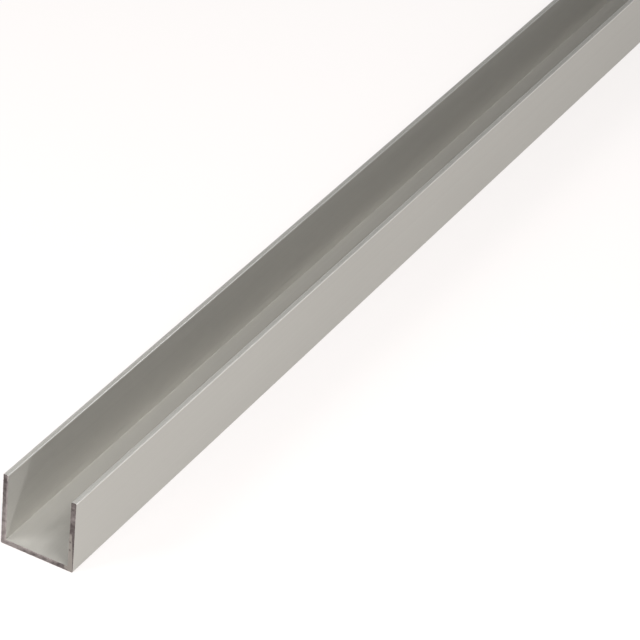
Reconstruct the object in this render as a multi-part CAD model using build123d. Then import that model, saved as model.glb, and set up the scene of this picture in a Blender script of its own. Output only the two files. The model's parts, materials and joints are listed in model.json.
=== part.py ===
from build123d import *
import os

# A drawn length of U profile: a flat web below and two equal flanges standing up from it, all one
# wall thick, pushed through a die as one piece and sawn square at both ends.
# Millimetres. The origin is the centre of the web's underside, X runs across the section,
# Y along the length and Z up, out of the open side.

# Driving dimensions
OUTER_WIDTH = 15.0  # across the two flanges, outside to outside
OUTER_HEIGHT = 15.0  # from the web's underside to the flange tips
WALL = 1.0  # web and flanges alike
STOCK_LENGTH = 1000.0  # the length that it is sold in

# Radii that the die leaves
HEEL_RADIUS = 0.3  # outside, where the web turns into a flange
ROOT_RADIUS = 0.1  # inside, in the same two corners
TIP_RADIUS = 0.15  # both edges of each flange tip

# Worked out from those
GAP_WIDTH = OUTER_WIDTH - 2 * WALL  # clear width between the flanges
GAP_DEPTH = OUTER_HEIGHT - WALL  # from the web's upper face to the tips
TOUCHING = 1e-6


def corners_at(sketch, half_width, height):
    """The two mirrored corners of the section at X = +-half_width and Y = height of the sketch."""
    return [
        corner
        for corner in sketch.vertices()
        if abs(abs(corner.X) - half_width) < TOUCHING and abs(corner.Y - height) < TOUCHING
    ]


def channel_section():
    """The section that the die is cut to, with its upright axis as the sketch's Y and its underside on Y = 0."""
    with BuildSketch() as section:
        Rectangle(OUTER_WIDTH, OUTER_HEIGHT, align=(Align.CENTER, Align.MIN))
        with Locations((0, WALL)):
            Rectangle(GAP_WIDTH, GAP_DEPTH, align=(Align.CENTER, Align.MIN), mode=Mode.SUBTRACT)
        fillet(corners_at(section, OUTER_WIDTH / 2, 0), HEEL_RADIUS)
        fillet(corners_at(section, GAP_WIDTH / 2, WALL), ROOT_RADIUS)
        fillet(corners_at(section, OUTER_WIDTH / 2, OUTER_HEIGHT), TIP_RADIUS)
        fillet(corners_at(section, GAP_WIDTH / 2, OUTER_HEIGHT), TIP_RADIUS)
    return section.sketch


def u_channel():
    """The section drawn out along Y, half the stock length each way from the origin."""
    across_the_length = Plane.XZ
    return extrude(across_the_length * channel_section(), STOCK_LENGTH / 2, both=True)


profile = u_channel()
profile.label = "u_channel"

os.makedirs("parts", exist_ok=True)
export_step(profile, "parts/u_channel.step")
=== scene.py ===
# %% [markdown]
# # A length of square U profile in anodised aluminium
# The real object is one piece of metal: a flat web with a flange along each side, pushed hot through
# a die, drawn straight, anodised in natural silver and sawn to length. A solid model of it already has
# the true sizes. This lesson makes the skin that is looked at, in exactly the same place.
# Everything is in metres. X runs across the section, Y along the bar and Z up, out of the open side.

import json
import math

import bpy
import numpy as np
from mathutils import Matrix, Vector


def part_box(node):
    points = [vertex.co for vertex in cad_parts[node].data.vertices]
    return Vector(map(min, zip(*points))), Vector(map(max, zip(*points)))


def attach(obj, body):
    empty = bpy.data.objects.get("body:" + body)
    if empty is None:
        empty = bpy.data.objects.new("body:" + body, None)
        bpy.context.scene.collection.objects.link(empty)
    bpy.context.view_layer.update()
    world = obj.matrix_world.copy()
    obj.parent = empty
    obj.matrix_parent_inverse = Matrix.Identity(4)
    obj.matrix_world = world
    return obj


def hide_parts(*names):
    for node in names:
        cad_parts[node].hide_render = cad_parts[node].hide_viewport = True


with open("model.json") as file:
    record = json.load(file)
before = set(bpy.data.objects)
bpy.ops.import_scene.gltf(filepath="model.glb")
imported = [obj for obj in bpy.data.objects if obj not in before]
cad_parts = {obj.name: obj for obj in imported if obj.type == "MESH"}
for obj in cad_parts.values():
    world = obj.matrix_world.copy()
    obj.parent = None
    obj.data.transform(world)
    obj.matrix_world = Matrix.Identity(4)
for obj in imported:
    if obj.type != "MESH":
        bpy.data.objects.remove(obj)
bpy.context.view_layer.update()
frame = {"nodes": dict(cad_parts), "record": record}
print("nodes in the frame:", sorted(frame["nodes"]))

# %% [markdown]
# ## Sizes
# Nothing is typed twice. The width, height and length are read from the solid model, and the wall is
# read from the mount on the web's upper face. Only the small radii that the die leaves are stated here.
# They are a few tenths of a millimetre, yet they matter: the bright lines that run along the flange
# tips are light caught by them. The inner edge of the tips is drawn 0.07 mm rounder than in the solid,
# because the real bar shows a wider line of light there.

# %% Sizes of the section and of the bar
MM = 0.001
low, high = (np.array(corner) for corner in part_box("u_channel"))
width, length, height = high - low
wall = next(m["pos_m"][2] for m in frame["record"]["mounts"] if m["name"] == "channel_floor")
HEEL = 0.3 * MM  # outside, where the web turns into a flange
ROOT = 0.1 * MM  # inside, in the same corners
TIP = 0.15 * MM  # outer edge of a flange tip
INNER_TIP = 0.22 * MM  # inner edge of a flange tip
print(f"section {width / MM:.1f} x {height / MM:.1f} x {wall / MM:.1f} mm, {length / MM:.0f} mm long")

# %% [markdown]
# ## The section as two lines
# The section could be one closed outline, but the sawn ends need a surface too. So it is worked out as
# two lines that run side by side from the left tip, down, across the web and up to the right tip: one on
# the outside of the wall and one on the inside. Point number i of the one lies across the wall from
# point number i of the other, and a grid between them is the sawn face.

# %% Straight runs and arcs
def run(start, end, steps):
    """Points on a straight line, start + share * (end - start), evenly spaced and without the end itself."""
    share = np.arange(steps)[:, None] / steps
    return np.array(start) + share * (np.array(end) - np.array(start))


def arc(centre, radius, start, turn, steps):
    """Points on a circle, centre + radius * (cos a, sin a), where a goes from start by turn degrees.

    The end is left out here too, because the next run or arc starts there.
    """
    angle = np.radians(start + turn * np.arange(steps) / steps)
    return np.array(centre) + radius * np.stack([np.cos(angle), np.sin(angle)], axis=1)


# %% The outside and the inside line
WEB_STEPS, CORNER_STEPS, FLANGE_STEPS, TIP_STEPS = 46, 6, 92, 5
TIP_MIDDLE = 0.1 * MM  # how far the two lines stay apart from the middle of a tip


def mirrored(half):
    """A line from the middle of the web to the right tip, with its mirror image put before it."""
    return np.vstack([half[:0:-1] * (-1, 1), half])


side, top = width / 2, height
outside = mirrored(np.vstack([
    run((0, 0), (side - HEEL, 0), WEB_STEPS),
    arc((side - HEEL, HEEL), HEEL, -90, 90, CORNER_STEPS),
    run((side, HEEL), (side, top - TIP), FLANGE_STEPS),
    arc((side - TIP, top - TIP), TIP, 0, 90, TIP_STEPS),
    run((side - TIP, top), (side - wall / 2 + TIP_MIDDLE, top), 1),
    [(side - wall / 2 + TIP_MIDDLE, top)],
]))
inside = mirrored(np.vstack([
    run((0, wall), (side - wall - ROOT, wall), WEB_STEPS),
    arc((side - wall - ROOT, wall + ROOT), ROOT, -90, 90, CORNER_STEPS),
    run((side - wall, wall + ROOT), (side - wall, top - INNER_TIP), FLANGE_STEPS),
    arc((side - wall + INNER_TIP, top - INNER_TIP), INNER_TIP, 180, -90, TIP_STEPS),
    run((side - wall + INNER_TIP, top), (side - wall / 2 - TIP_MIDDLE, top), 1),
    [(side - wall / 2 - TIP_MIDDLE, top)],
]))
print(f"each line has {len(outside)} points")

# %% [markdown]
# ## The sawn face and its rim
# A grid of points fills the wall between the two lines. The rim of that grid, followed once round, is
# the outline of the section, and the drawn surface is this outline carried along Y. The first and last
# outline use the grid's own points, so that the bar is one closed skin with no gap at the saw cuts.

# %% The grid across the wall and its rim
ACROSS = 8  # cells through the 1 mm wall
share = np.linspace(0, 1, ACROSS + 1)[:, None, None]
band = (1 - share) * outside + share * inside
rows, columns = band.shape[:2]
number = np.arange(rows * columns).reshape(rows, columns)
rim = np.concatenate([number[0, :-1], number[:-1, -1], number[-1, :0:-1], number[:0:-1, 0]])
outline = band.reshape(-1, 2)[rim]
print(f"sawn face {rows} x {columns} points, rim {len(rim)} points")

# %% [markdown]
# ## What the saw does
# A circular saw leaves shallow arcs, one for each tooth, and here and there it tears the metal. Where
# the blade leaves the cut, at the web's corner under the right flange, it drags a soft lip of metal
# over the edge. The arcs and tears are hundredths of a millimetre deep and the lip is little more than a
# tenth high, but all of it is real shape: it is worked out for each point of the face, from smooth waves
# and a seeded table of random numbers.

# %% Random lumps and soft steps
TABLE_SIDE = 64  # random numbers along each side of a table, after which it repeats


def lumps(x, z, size, seed):
    """Smooth random values from 0 to 1, from a table of random numbers that lie one size apart.

    Between four neighbours they are mixed across and up by the soft step f * f * (3 - 2 * f).
    """
    table = np.random.default_rng(seed).random((TABLE_SIDE, TABLE_SIDE))
    u, v = x / size, z / size
    i, j = np.floor(u).astype(int), np.floor(v).astype(int)
    fu, fv = (f * f * (3 - 2 * f) for f in (u - i, v - j))
    corner = [table[(i + a) % TABLE_SIDE, (j + b) % TABLE_SIDE] for a in (0, 1) for b in (0, 1)]
    lower, upper = corner[0] * (1 - fv) + corner[1] * fv, corner[2] * (1 - fv) + corner[3] * fv
    return lower * (1 - fu) + upper * fu


def step(value, start, end):
    """0 up to start, 1 from end on, and share * share * (3 - 2 * share) between them."""
    share = np.clip((value - start) / (end - start), 0, 1)
    return share * share * (3 - 2 * share)


# %% Two pits and a crease that the saw left open
PITS = np.array([(6.68, 6.4), (6.66, 4.7)]) * MM
PIT_FLOOR, PIT_RADIUS = 0.108 * MM, 0.27 * MM
CREASE = np.array([(5.6, 0.42), (6.3, 0.16), (7.1, 0.10), (7.42, 0.45), (7.40, 2.3)]) * MM
CREASE_HALF = 0.07 * MM  # to its side, past which it fades over as much again


def to_crease(x, z):
    """Distance to the crease: to the nearest of its straight pieces, start + share * (end - start)."""
    nearest = np.full_like(x, np.inf)
    for start, end in zip(CREASE[:-1], CREASE[1:]):
        along = end - start
        share = np.clip(((x - start[0]) * along[0] + (z - start[1]) * along[1]) / (along @ along), 0, 1)
        off_x, off_z = x - start[0] - share * along[0], z - start[1] - share * along[1]
        nearest = np.minimum(nearest, np.hypot(off_x, off_z))
    return nearest


crease_length = np.linalg.norm(np.diff(CREASE, axis=0), axis=1).sum()
print(f"{len(PITS)} pits, {PIT_RADIUS / MM:.2f} mm in radius, and a crease {crease_length / MM:.1f} mm long")

# %% Where the saw dragged the metal
DRAGGED_FROM = 5.7 * MM  # along the web
DRAGGED_UP_TO = 8.2 * MM  # up the right flange
FADE_BELOW, FADE_ABOVE = 0.4 * MM, 0.2 * MM  # round that upper end
WEB_FADE, EDGE_FADE = 0.15 * MM, 0.08 * MM  # to both sides of its start on the web and of its outer edge
OUTER_PART = 0.6 * wall  # left rough at the upper end
WIDENING = 0.075  # how much the smooth part widens for each step down


def dragged(x, z):
    """How far the saw has dragged the metal smooth: 1 in the web's right corner, and soft steps down to 0.

    Up the flange it keeps to the inner part, and widens to the whole wall at the corner. The pits and the
    crease along the outer rim stay open.
    """
    up_the_flange = 1 - step(z, DRAGGED_UP_TO - FADE_BELOW, DRAGGED_UP_TO + FADE_ABOVE)
    into_the_web = step(x, DRAGGED_FROM - WEB_FADE, DRAGGED_FROM + WEB_FADE)
    edge = side - OUTER_PART + WIDENING * (DRAGGED_UP_TO - z)
    inner_part = 1 - step(x, edge - EDGE_FADE, edge + EDGE_FADE)
    smooth = into_the_web * up_the_flange * inner_part
    for pit_x, pit_z in PITS:
        smooth = smooth * step(np.hypot(x - pit_x, z - pit_z), PIT_FLOOR, PIT_RADIUS)
    return smooth * step(to_crease(x, z), CREASE_HALF, 2 * CREASE_HALF)


share_dragged = dragged(*band.reshape(-1, 2).T).mean()
print(f"{share_dragged:.0%} of a sawn face is dragged smooth")

# %% The relief of a sawn face
BLADE_RADIUS = 125 * MM
BLADE_ASIDE, BLADE_ABOVE = 0.6 * BLADE_RADIUS, 0.8 * BLADE_RADIUS  # where the blade's centre stands
TOOTH_PITCH, TOOTH_DEPTH = 0.42 * MM, 0.018 * MM
STRAY, STRAY_SIZE = 2.0, 3 * MM  # radians by which the arcs stray, and over what distance
TEAR_SIZE, TEAR_DEPTH = 0.45 * MM, 0.045 * MM
TORN_FROM, TORN_WHOLLY = 0.55, 0.95  # of the random values, which run from 0 to 1


def saw_relief(x, z, inward, seed):
    """How deep a sawn face lies behind the cut plane: tooth arcs round the blade's centre, and torn spots.

    The arcs are waves, 0.5 + 0.5 * sin(phase), and the phase grows by one turn for each tooth. Inward is 1
    at the near end and -1 at the far one, where the blade's centre stands on the other side.
    """
    from_centre = np.hypot(x - inward * BLADE_ASIDE, z - BLADE_ABOVE)
    phase = 2 * np.pi * from_centre / TOOTH_PITCH + STRAY * lumps(x, z, STRAY_SIZE, seed)
    teeth = 0.5 + 0.5 * np.sin(phase)
    torn = step(lumps(x, z, TEAR_SIZE, seed + 1), TORN_FROM, TORN_WHOLLY)
    return TOOTH_DEPTH * teeth + TEAR_DEPTH * torn


deepest = (TOOTH_DEPTH + TEAR_DEPTH) / MM
print(f"the relief is at most {deepest:.3f} mm deep")

# %% [markdown]
# ## The drawn surface
# The outline is carried along the bar through about thirty stations. They crowd together near the ends,
# where the rim has its ragged lip, and lie 15 centimetres apart along the plain middle.

# %% Stations along the bar, and what lies round the outline
FROM_AN_END = np.array([0.08, 0.16, 0.28, 0.45, 0.8, 1.6, 3.2, 6.4, 12.5, 25, 50, 100, 200, 350]) * MM
stations = np.concatenate([low[1] + FROM_AN_END, [0.0], high[1] - FROM_AN_END[::-1]])

MICROMETRE = 0.001 * MM
ahead = np.roll(outline, -1, axis=0) - np.roll(outline, 1, axis=0)
normal = np.stack([ahead[:, 1], -ahead[:, 0]], axis=1) / np.linalg.norm(ahead, axis=1)[:, None]
between_flanges = np.abs(outline[:, 0]) < side - wall + MICROMETRE
faces_channel = between_flanges & (outline[:, 1] > wall - MICROMETRE)
around = np.concatenate([[0], np.cumsum(np.linalg.norm(np.diff(outline, axis=0), axis=1))])
print(f"{len(stations)} stations, {faces_channel.sum()} of {len(outline)} outline points face the channel")

# %% The lip at the rim
LIP_REACH = 0.12 * MM  # how far along the bar the lip fades
RAGGED_FINE, RAGGED_BROAD = 0.35 * MM, 1.7 * MM  # distances along the rim over which it changes
LIP_EVERYWHERE, LIP_RAGGED, LIP_DRAGGED = 0.02 * MM, 0.06 * MM, 0.10 * MM
OUTER_BREAK = 0.015 * MM
NEAR_SEED, FAR_SEED = 11, 47  # of the random numbers at the two ends


def lip(seed):
    """How far the rim stands out from the wall: a ragged lip on the channel side, a hair's break outside.

    The lip has an even part, and a ragged part that is larger where the saw dragged the metal.
    """
    zero = np.zeros_like(around)
    ragged = lumps(around, zero, RAGGED_FINE, seed) * lumps(around, zero, RAGGED_BROAD, seed + 1)
    inner = LIP_EVERYWHERE + (LIP_RAGGED + LIP_DRAGGED * dragged(*outline.T)) * ragged
    return np.where(faces_channel, inner, -OUTER_BREAK)


highest = max(lip(NEAR_SEED).max(), lip(FAR_SEED).max()) / MM
print(f"the lip stands out by {highest:.2f} mm at most")

# %% Where the bar is rubbed, and where a highlight is painted on its tip edges
RUB_AND_HIGHLIGHT_REACH = 0.11 * MM
RUBBED_AND_HIGHLIGHT_SPOTS = [  # strength and place, on the right half: the two edges of the tip, and the heel
    (1.0, side - TIP / 2, top - TIP / 2),
    (1.0, side - wall + INNER_TIP / 3, top - INNER_TIP / 3),
    (0.5, side - HEEL / 3, HEEL / 3),
]


def rubbed_and_highlight(x, z):
    """How far handling has polished the metal, and how much painted highlight the tip edges get: strength *
    exp(-(distance / reach) ** 2) round each spot.
    """
    value = np.zeros_like(x)
    for strength, spot_x, spot_z in RUBBED_AND_HIGHLIGHT_SPOTS:
        distance = np.hypot(np.abs(x) - spot_x, z - spot_z)
        value = np.maximum(value, strength * np.exp(-(distance / RUB_AND_HIGHLIGHT_REACH) ** 2))
    return value


print(f"rubbed, on average round the outline: {rubbed_and_highlight(*outline.T).mean():.2f}")

# %% Points of the whole bar
SMOOTHED = 0.7  # share of the relief that dragging takes away


def sawn_face(y, inward, seed):
    """The grid of one end as (x, y, z): the band set back from y by the relief, its rim moved by the lip."""
    x, z = band[..., 0].ravel(), band[..., 1].ravel()
    relief = saw_relief(x, z, inward, seed) * (1 - SMOOTHED * dragged(x, z))
    place = np.stack([x, y + inward * relief, z], axis=1)
    place[rim, 0] += normal[:, 0] * lip(seed)
    place[rim, 2] += normal[:, 1] * lip(seed)
    return place


def drawn_rings(seed_near, seed_far):
    """The outline at every station as (x, y, z), moved by each end's lip * exp(-distance / LIP_REACH)."""
    from_near = np.exp(-(stations - low[1]) / LIP_REACH)[:, None, None]
    from_far = np.exp(-(high[1] - stations) / LIP_REACH)[:, None, None]
    out = from_near * (normal * lip(seed_near)[:, None]) + from_far * (normal * lip(seed_far)[:, None])
    flat = outline + out
    y = np.broadcast_to(stations[:, None], flat.shape[:2])
    return np.stack([flat[..., 0], y, flat[..., 1]], axis=2)


near = sawn_face(low[1], 1, NEAR_SEED)
far = sawn_face(high[1], -1, FAR_SEED)
rings = drawn_rings(NEAR_SEED, FAR_SEED)
points = np.vstack([near, far, rings.reshape(-1, 3)])
print(f"{len(points)} points at {len(stations)} stations")

# %% Faces of the whole bar
def grid_faces(table):
    """Four-sided faces between neighbouring entries of a table of point numbers."""
    corners = [table[:-1, :-1], table[:-1, 1:], table[1:, 1:], table[1:, :-1]]
    return np.stack([c.ravel() for c in corners], axis=1)


# A grid whose faces would point into the metal has their corners put in the opposite order.
near_faces = grid_faces(number)
far_faces = grid_faces(number + len(near))[:, ::-1]
ring_numbers = len(near) + len(far) + np.arange(len(stations) * len(rim)).reshape(len(stations), -1)
tube = np.vstack([rim, ring_numbers, rim + len(near)])
tube = np.hstack([tube, tube[:, :1]])
skin_faces = grid_faces(tube)[:, ::-1]
faces = np.vstack([skin_faces, near_faces, far_faces])
is_end = np.arange(len(faces)) >= len(skin_faces)
print(f"{len(faces)} faces, {is_end.sum()} of them on the sawn ends")

# %% [markdown]
# ## A mesh from arrays
# from_pydata takes the arrays as they are. Faces on the two sides of a saw cut meet at a right angle,
# so edges that turn by more than 35 degrees stay sharp, and the small radii are shaded smooth.

# %% Make the bar
SHARP_FROM = 35  # degrees
bar_mesh = bpy.data.meshes.new("u_profile_bar")
bar_mesh.from_pydata(points, [], faces)
bar_mesh.polygons.foreach_set("material_index", is_end.astype(np.int32))
bar_mesh.shade_smooth()
bar_mesh.set_sharp_from_angle(angle=math.radians(SHARP_FROM))
bar = bpy.data.objects.new("u_profile_bar", bar_mesh)
bpy.context.scene.collection.objects.link(bar)
problems = bar_mesh.validate(verbose=True)
print("mesh needed repair:", problems, "| triangles:", 2 * len(faces))

# %% [markdown]
# ## Dirt, wear and painted light as numbers on the mesh
# The cut isn't one grey. Dust and oil have settled in some places, the dragged corner is bare, and the
# edges of the tips are rubbed bright. Part of it is painted light: painted shade darkens the cut up the
# flanges and leaves its foot lighter, near the table, a painted highlight lightens its rim along the
# channel, and the rubbed tip edges hold a painted highlight in their colour. A picture could hold that,
# but it would have to be painted. It is simpler to store a number from 0 to 1 at each point of the mesh,
# and let the materials read it. How dark the cut is along the web and up each flange was given every
# few millimetres, and changed until the render agreed with the picture.

# %% Where dust, oil and painted shade darken the cut, and a painted highlight lightens its rim
# Each entry is a place in millimetres and a level, across the web and up the flanges. The levels are
# dust and oil and painted shade: lower at the foot of the flanges, near the table, and higher up them.
WEB_GRIME_AND_SHADE = [
    (-7.0, 0.25), (-4.5, 0.45), (-1.0, 0.70), (2.5, 0.62),
    (4.2, 0.70), (4.9, 0.66), (5.7, 0.76), (6.3, 0.60)]
LEFT_GRIME_AND_SHADE = [(1.0, 0.32), (5.0, 0.64), (8.0, 0.62), (11.0, 0.8), (14.0, 0.85)]
RIGHT_GRIME_AND_SHADE = [(1.0, 0.7), (3.0, 1.0), (10.3, 1.0), (11.3, 0.68), (13.6, 0.74), (14.6, 0.92)]
WEB_UP_TO = 0.5 * wall  # below this height the corners take the web's level
RIM_HIGHLIGHT_FULL, RIM_FADED = 0.12 * MM, 0.36 * MM  # depths below the channel's rim
RIM_HIGHLIGHT, RIM_HIGHLIGHT_TO = 0.75, 4.5 * MM  # how much the painted highlight lightens the rim, and how far to the right
MOTTLES = [(0.5, 0.5 * MM), (0.3, 1.5 * MM)]  # strength and size


def grime(x, z, seed):
    """How dark the cut is, 0 to 1: straight lines between the levels above, plus mottling round its middle.

    A painted highlight makes the rim along the channel lighter on the web and the left flange, where the
    burr catches light.
    """
    web, left, right = (np.array(levels).T for levels in (WEB_GRIME_AND_SHADE, LEFT_GRIME_AND_SHADE, RIGHT_GRIME_AND_SHADE))
    flange = np.where(x < 0, np.interp(z / MM, *left), np.interp(z / MM, *right))
    level = np.where((np.abs(x) < side - wall) | (z < WEB_UP_TO), np.interp(x / MM, *web), flange)
    depth = np.maximum(wall - z, np.abs(x) - (side - wall))
    # Painted highlight: the cut is made lighter just below its rim along the channel.
    painted_rim_highlight = (1 - step(depth, RIM_HIGHLIGHT_FULL, RIM_FADED)) * (x < RIM_HIGHLIGHT_TO)
    mottled = sum(
        strength * (lumps(x, z, size, seed + extra) - 0.5) for extra, (strength, size) in enumerate(MOTTLES))
    return np.clip(level * (1 - RIM_HIGHLIGHT * painted_rim_highlight) + mottled, 0, 1)


print(len(WEB_GRIME_AND_SHADE), "levels along the web,", len(LEFT_GRIME_AND_SHADE), "and", len(RIGHT_GRIME_AND_SHADE), "up the flanges")

# %% Three numbers at every point, for the materials
cut_x, cut_z = band[..., 0].ravel(), band[..., 1].ravel()
smooth_cut, grimy_and_shaded = np.zeros((2, len(points)))
smooth_cut[:len(near) + len(far)] = np.tile(dragged(cut_x, cut_z), 2)
grimy_and_shaded[:len(near) + len(far)] = np.concatenate([grime(cut_x, cut_z, seed) for seed in (NEAR_SEED, FAR_SEED)])
rubbed_edge = rubbed_and_highlight(points[:, 0], points[:, 2])
for label, values in (("smooth_cut", smooth_cut), ("grime", grimy_and_shaded), ("rubbed_edge", rubbed_edge)):
    attribute = bar_mesh.attributes.new(label, "FLOAT", "POINT")
    attribute.data.foreach_set("value", values.astype(np.float32))
    print(f"{label}: mean {values.mean():.3f}, highest {values.max():.2f}")

# %% [markdown]
# ## A flat layout for painted copies
# A renderer that needs a picture of the colours gets a layout that wastes little of it. The drawn skin is
# unrolled into one strip, as wide as the outline is long. Along the bar it is squeezed, as little changes
# there. The two sawn ends lie beside one another above it.

# %% Unroll the bar
STRIP_TOP, MARGIN = 0.78, 0.01  # of a picture's height and width
girth = around[-1] + np.linalg.norm(outline[0] - outline[-1])
lengthwise = np.concatenate([[low[1]], stations, [high[1]]])
strip_v = MARGIN + (STRIP_TOP - MARGIN) * (lengthwise - low[1]) / length
strip_u = MARGIN + (1 - 2 * MARGIN) * np.append(around, girth) / girth
strip = np.stack(np.meshgrid(strip_u, strip_v), axis=2)
end_side = 1 - STRIP_TOP - 2 * MARGIN
flat_end = (band.reshape(-1, 2) + (side, 0)) / width * end_side
near_layout = flat_end + (MARGIN, STRIP_TOP + MARGIN)
far_layout = near_layout + (end_side + 2 * MARGIN, 0)


def corners_of(grid):
    """Layout positions for the four corners of every cell of a grid, in the order that grid_faces uses."""
    return np.stack([grid[:-1, :-1], grid[:-1, 1:], grid[1:, 1:], grid[1:, :-1]], axis=2).reshape(-1, 4, 2)


layout = np.vstack([corners_of(strip)[:, ::-1], near_layout[near_faces], far_layout[far_faces - len(near)]])
bar_mesh.uv_layers.new(name="OFBake").uv.foreach_set("vector", layout.astype(np.float32).ravel())
print(f"layout reaches from {layout.min():.3f} to {layout.max():.3f}")

# %% [markdown]
# ## Colours and nodes
# Colours are written as they are read off a screen, and one function turns them into the linear light
# that a shader mixes. Another adds a node, with its settings and what goes into its sockets, and a third
# starts an empty material.

# %% Three helpers for materials
def linear(code):
    """An sRGB hex colour as linear red, green, blue and 1: each channel goes through the sRGB curve."""
    channel = np.array([int(code[i:i + 2], 16) for i in (1, 3, 5)]) / 255
    light = np.where(channel <= 0.04045, channel / 12.92, ((channel + 0.055) / 1.055) ** 2.4)
    return (*light.tolist(), 1.0)


def add(tree, kind, settings=None, inputs=None):
    """Adds a node. inputs holds a value or another node's output for each named or numbered socket."""
    node = tree.nodes.new(kind)
    for name, value in (settings or {}).items():
        setattr(node, name, value)
    for name, value in (inputs or {}).items():
        if isinstance(value, bpy.types.NodeSocket):
            tree.links.new(value, node.inputs[name])
        else:
            node.inputs[name].default_value = value
    return node


def new_material(name):
    """A new material with an empty node tree: the material, its tree and its output node."""
    material = bpy.data.materials.new(name)
    material.use_nodes = True
    material.node_tree.nodes.clear()
    return material, material.node_tree, add(material.node_tree, "ShaderNodeOutputMaterial")


print(f"a screen grey of #808080 is {linear('#808080')[0]:.3f} in linear light")

# %% [markdown]
# ## Satin silver anodised aluminium
# Anodising is clear oxide grown on etched metal. The etch makes it satin: it has no sharp reflections,
# only a broad sheen, and a warm grey that shifts by a shade or two along the bar. Under it, the die has
# left fine straight lines along Y. They are a few hundredths of a millimetre apart, too fine to show,
# so they are drawn ten times as coarse and very shallow. On the edges of the tips the bar has been
# rubbed in handling: there the skin is smoother and gives a sharper line of light, and its much paler
# colour is partly polished metal and partly a painted highlight.

# %% The anodised skin
# The pale rubbed colour is partly polished metal and partly a painted highlight along the tip edges.
SILVER_LIGHT, SILVER_DARK, SILVER_RUBBED_HIGHLIGHT = "#B2B0AB", "#ACAAA5", "#ECEAE7"
SATIN_ROUGH, SATIN_SPREAD, RUBBED_ROUGH = 0.64, 0.03, 0.33
DIE_LINE = 0.35 * MM  # width of a line
LINE_STRETCH = 400  # how many times as long as it is wide
LINE_DEPTH = 0.004 * MM
CLOUD = 28 * MM

anodised, tree, output = new_material("satin_silver_anodised_aluminium")
place = add(tree, "ShaderNodeTexCoord").outputs["Object"]
stretched = add(tree, "ShaderNodeMapping", {}, {
    "Vector": place, "Scale": (1 / DIE_LINE, 1 / (LINE_STRETCH * DIE_LINE), 1 / DIE_LINE)})
die_lines = add(tree, "ShaderNodeTexNoise", {"noise_dimensions": "3D"}, {
    "Vector": stretched.outputs[0], "Scale": 1.0, "Detail": 3.0, "Roughness": 0.6})
clouded = add(tree, "ShaderNodeMapping", {}, {
    "Vector": place, "Scale": (1 / CLOUD, 1 / (2 * CLOUD), 1 / CLOUD)})
clouds = add(tree, "ShaderNodeTexNoise", {}, {
    "Vector": clouded.outputs[0], "Scale": 1.0, "Detail": 2.0, "Roughness": 0.5})
tint = add(tree, "ShaderNodeMix", {"data_type": "RGBA"}, {
    "Factor": clouds.outputs["Fac"], "A": linear(SILVER_DARK), "B": linear(SILVER_LIGHT)})
edge = add(tree, "ShaderNodeAttribute", {"attribute_name": "rubbed_edge"}).outputs["Fac"]
# Along the rubbed edges the colour turns pale: polished metal with a painted highlight on the tip edges.
colour = add(tree, "ShaderNodeMix", {"data_type": "RGBA"}, {
    "Factor": edge, "A": tint.outputs["Result"], "B": linear(SILVER_RUBBED_HIGHLIGHT)})
satin = add(tree, "ShaderNodeMapRange", {}, {
    "Value": die_lines.outputs["Fac"], "From Min": 0.3, "From Max": 0.7,
    "To Min": SATIN_ROUGH - SATIN_SPREAD, "To Max": SATIN_ROUGH + SATIN_SPREAD})
roughness = add(tree, "ShaderNodeMix", {"data_type": "FLOAT"}, {
    "Factor": edge, "A": satin.outputs[0], "B": RUBBED_ROUGH})
grooves = add(tree, "ShaderNodeBump", {}, {
    "Height": die_lines.outputs["Fac"], "Strength": 0.25, "Distance": LINE_DEPTH})
skin = add(tree, "ShaderNodeBsdfPrincipled", {}, {
    "Base Color": colour.outputs["Result"], "Metallic": 1.0,
    "Roughness": roughness.outputs["Result"], "Normal": grooves.outputs[0]})
tree.links.new(skin.outputs[0], output.inputs["Surface"])
print(f"{anodised.name} has {len(tree.nodes)} nodes")

# %% [markdown]
# ## Bare sawn aluminium
# The saw cuts through the oxide, so the ends show bare metal. It is rougher, and dulled to a purplish
# grey by dust and cutting oil, and its dark grey is also painted shade. How dark it is comes from the
# numbers worked out above, which hold dust, oil and painted shade, with fine flecks where the teeth
# tore it, and it is pale where the blade dragged it smooth.

# %% The sawn ends
# The sawn greys are dust and oil and painted shade: the ends are painted darker, as if they stood in dim
# light.
SAWN_DARK, SAWN_PALE, DRAGGED = "#403A39", "#807977", "#7D7873"
SAWN_ROUGH, DRAGGED_ROUGH = 0.58, 0.45
FLECK, FLECK_CONTRAST, GRIT_DEPTH = 0.4 * MM, 0.12, 0.02 * MM

sawn, tree, output = new_material("bare_sawn_aluminium")
place = add(tree, "ShaderNodeTexCoord").outputs["Object"]
flecks = add(tree, "ShaderNodeTexNoise", {}, {
    "Vector": place, "Scale": 1 / FLECK, "Detail": 3.0, "Roughness": 0.6})
mottle = add(tree, "ShaderNodeMapRange", {}, {
    "Value": flecks.outputs["Fac"], "From Min": 0.35, "From Max": 0.65,
    "To Min": -FLECK_CONTRAST, "To Max": FLECK_CONTRAST})
grime_and_shade_level = add(tree, "ShaderNodeAttribute", {"attribute_name": "grime"}).outputs["Fac"]
darkness = add(tree, "ShaderNodeMath", {"operation": "ADD", "use_clamp": True}, {
    0: mottle.outputs[0], 1: grime_and_shade_level})
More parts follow.
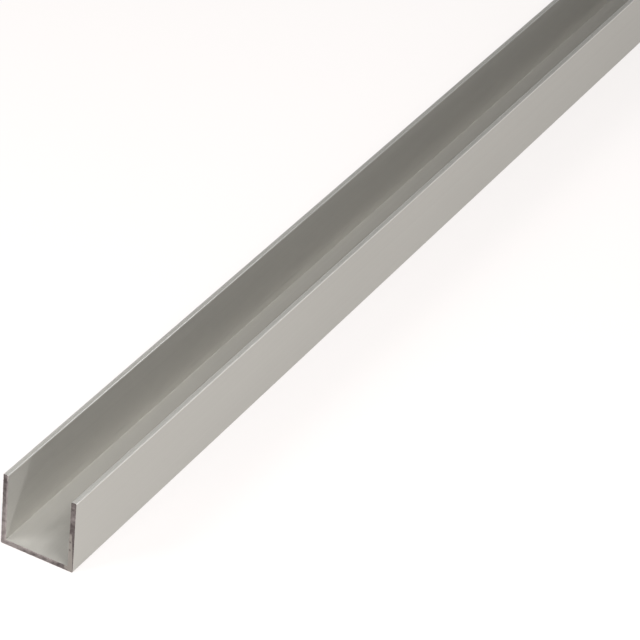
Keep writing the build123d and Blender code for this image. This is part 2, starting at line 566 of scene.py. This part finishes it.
# The levels darken the cut: dust and oil, and painted shade up the flanges.
dull_and_shaded = add(tree, "ShaderNodeMix", {"data_type": "RGBA"}, {
    "Factor": darkness.outputs[0], "A": linear(SAWN_PALE), "B": linear(SAWN_DARK)})
smooth = add(tree, "ShaderNodeAttribute", {"attribute_name": "smooth_cut"}).outputs["Fac"]
cut = add(tree, "ShaderNodeMix", {"data_type": "RGBA"}, {
    "Factor": smooth, "A": dull_and_shaded.outputs["Result"], "B": linear(DRAGGED)})
rough = add(tree, "ShaderNodeMapRange", {}, {
    "Value": smooth, "From Min": 0.0, "From Max": 1.0, "To Min": SAWN_ROUGH, "To Max": DRAGGED_ROUGH})
grit = add(tree, "ShaderNodeBump", {}, {
    "Height": flecks.outputs["Fac"], "Strength": 0.4, "Distance": GRIT_DEPTH})
end = add(tree, "ShaderNodeBsdfPrincipled", {}, {
    "Base Color": cut.outputs["Result"], "Metallic": 1.0,
    "Roughness": rough.outputs[0], "Normal": grit.outputs[0]})
tree.links.new(end.outputs[0], output.inputs["Surface"])
print(f"{sawn.name} has {len(tree.nodes)} nodes")

bar_mesh.materials.append(anodised)
bar_mesh.materials.append(sawn)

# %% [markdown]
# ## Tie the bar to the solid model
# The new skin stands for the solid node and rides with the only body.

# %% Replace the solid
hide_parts("u_channel")
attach(bar, "root")
print(f"{bar.name} stands for u_channel, with {len(bar_mesh.materials)} materials")

# %% [markdown]
# ## A white table
# The bar lies on a white table. Most of its white is an even glow that only the camera, reflections and
# clear glass see, so it stays the same near and far, and the metal mirrors it as the camera sees it. Under
# the glow is a dark paint that the lamps light: it is too dark to send much light back at the bar, and
# it keeps the bar's soft shadow. The table lets the lamps' shadow rays through, as lit opal glass does, so
# that a lamp below it can send light up past the open end.

# %% The table
TABLE_HALF = 12.0  # half of a side, in metres
table_mesh = bpy.data.meshes.new("white_table")
corners = np.array([(-1, -1), (1, -1), (1, 1), (-1, 1)]) * TABLE_HALF
table_mesh.from_pydata(np.column_stack([corners, np.zeros(4)]), [], [(0, 1, 2, 3)])
table = bpy.data.objects.new("white_table", table_mesh)
bpy.context.scene.collection.objects.link(table)
print(f"the table is {2 * TABLE_HALF:.0f} m square")

# %% The table's glow and its paint
TABLE_PAINT, TABLE_GLOW, GLOW_STRENGTH = "#5C5A59", "#FFFCFB", 0.71


def seen_or_mirrored(tree):
    """1 where the camera, a reflection or clear glass looks, and 0 where light is only passed on."""
    path = add(tree, "ShaderNodeLightPath").outputs
    either = add(tree, "ShaderNodeMath", {"operation": "MAXIMUM"}, {
        0: path["Is Camera Ray"], 1: path["Is Glossy Ray"]})
    return add(tree, "ShaderNodeMath", {"operation": "MAXIMUM"}, {
        0: either.outputs[0], 1: path["Is Transmission Ray"]}).outputs[0]


white, tree, output = new_material("opal_white_table")
path = add(tree, "ShaderNodeLightPath")
paint = add(tree, "ShaderNodeBsdfDiffuse", {}, {"Color": linear(TABLE_PAINT)})
glow = add(tree, "ShaderNodeEmission", {}, {"Color": linear(TABLE_GLOW), "Strength": GLOW_STRENGTH})
lit = add(tree, "ShaderNodeAddShader", {}, {0: paint.outputs[0], 1: glow.outputs[0]})
shown = add(tree, "ShaderNodeMixShader", {}, {
    0: seen_or_mirrored(tree), 1: paint.outputs[0], 2: lit.outputs[0]})
clear = add(tree, "ShaderNodeBsdfTransparent")
opal = add(tree, "ShaderNodeMixShader", {}, {
    0: path.outputs["Is Shadow Ray"], 1: shown.outputs[0], 2: clear.outputs[0]})
tree.links.new(opal.outputs[0], output.inputs["Surface"])
table_mesh.materials.append(white)
print(f"{white.name} has {len(tree.nodes)} nodes")

# %% [markdown]
# ## A dim room with a white horizon
# The world is white just above the horizon, so that a side view has no dark edge behind the table, and a
# dim room higher up. The dim part matters: it is what the inside of the channel mirrors, and why the
# inside looks darker than the outer face, which mirrors the table. To light that is only passed on, the
# world is an even white that fills the table's paint. As it differs by the kind of ray, it is found by
# bounces alone, without a map of where it is bright.

# %% The world
WHITE_UP_TO, DIM_FROM = 6, 18  # degrees above the horizon
CEILING, FILL = 0.20, 1.0
world = bpy.data.worlds.new("studio")
bpy.context.scene.world = world
world.use_nodes = True
tree = world.node_tree
tree.nodes.clear()
direction = add(tree, "ShaderNodeTexCoord").outputs["Generated"]
climb = add(tree, "ShaderNodeSeparateXYZ", {}, {"Vector": direction}).outputs["Z"]
sky = add(tree, "ShaderNodeMapRange", {"interpolation_type": "SMOOTHSTEP"}, {
    "Value": climb,
    "From Min": math.sin(math.radians(WHITE_UP_TO)), "From Max": math.sin(math.radians(DIM_FROM)),
    "To Min": 1.0, "To Max": CEILING})
backdrop = add(tree, "ShaderNodeBackground", {}, {"Color": linear("#FFFFFF"), "Strength": sky.outputs[0]})
fill = add(tree, "ShaderNodeBackground", {}, {"Color": linear("#FFFFFF"), "Strength": FILL})
both = add(tree, "ShaderNodeMixShader", {}, {
    0: seen_or_mirrored(tree), 1: fill.outputs[0], 2: backdrop.outputs[0]})
add(tree, "ShaderNodeOutputWorld", {}, {"Surface": both.outputs[0]})
world.cycles.sampling_method = "NONE"
print(f"white up to {WHITE_UP_TO} degrees, and {CEILING:.0%} of it from {DIM_FROM} degrees up")

# %% [markdown]
# ## Lamps round the open end
# All lamps are small and near the open end, because the light fades along the bar. Two stand high on the
# right, one straight above the end, one low in front of the channel's mouth, and a strong soft one on
# the front left lights the sawn end. A weak one low on the right draws the line of light along the tips.
# The last one is under the table: it reaches the inside of the left flange only through the open end,
# and makes the pale wedge there. Only shadow rays pass the table, so multiple importance sampling, which
# would also look for that lamp by bounces, is off for it.

# %% Lamps
def soft_lamp(name, place, size, watts):
    """A square area lamp of that size in metres, turned to the open end and unseen by the camera."""
    data = bpy.data.lights.new(name, "AREA")
    data.shape, data.size, data.energy = "SQUARE", size, watts
    lamp = bpy.data.objects.new(name, data)
    lamp.location = place
    lamp.rotation_mode = "QUATERNION"
    lamp.rotation_quaternion = (Vector(place) - Vector((0, low[1], height / 2))).to_track_quat("Z", "Y")
    lamp.visible_camera = False
    bpy.context.scene.collection.objects.link(lamp)
    return lamp


soft_lamp("key_lamp", (0.35, -0.55, 0.60), 0.25, 2.9)
soft_lamp("near_key_lamp", (0.25, -0.60, 0.45), 0.20, 2.75)
soft_lamp("top_lamp", (0.0, -0.50, 0.70), 0.30, 0.5)
soft_lamp("front_lamp", (-0.40, -0.95, 0.40), 0.30, 9.6)
soft_lamp("mouth_lamp", (0.0, -0.70, 0.06), 0.06, 0.64)
soft_lamp("edge_lamp", (0.165, -0.2735, 0.1155), 0.06, 0.050)
under_lamp = soft_lamp("under_lamp", (0.10, -0.62, -0.22), 0.025, 0.80)
under_lamp.data.cycles.use_multiple_importance_sampling = False

# %% [markdown]
# ## The camera
# The view was solved from the bar's ten straight edges in the picture: a long lens from the front
# right, which looks down by 33 degrees and leans by 6.

# %% The camera
AZIMUTH, ELEVATION, LEAN = 25.58, 33.22, 6.15  # degrees
AIM = (3.70 * MM, -403.83 * MM, 0.0)
DISTANCE = 604.9 * MM
LENS, SENSOR = 171.61, 36.0  # millimetres
NEAREST, FARTHEST = 0.05, 50.0  # metres

turn, tilt = math.radians(AZIMUTH), math.radians(ELEVATION)
back = Vector((math.sin(turn) * math.cos(tilt), -math.cos(turn) * math.cos(tilt), math.sin(tilt)))
camera = bpy.data.objects.new("camera", bpy.data.cameras.new("camera"))
camera.data.lens, camera.data.sensor_width = LENS, SENSOR
camera.data.clip_start, camera.data.clip_end = NEAREST, FARTHEST
upright = back.to_track_quat("Z", "Y").to_matrix().to_4x4()
camera.matrix_world = (
    Matrix.Translation(Vector(AIM) + back * DISTANCE) @ upright @ Matrix.Rotation(math.radians(LEAN), 4, "Z")
)
bpy.context.scene.collection.objects.link(camera)
bpy.context.scene.camera = camera
bpy.context.scene.view_settings.view_transform = "Standard"
print(f"the camera stands {DISTANCE:.2f} m from the point it looks at")
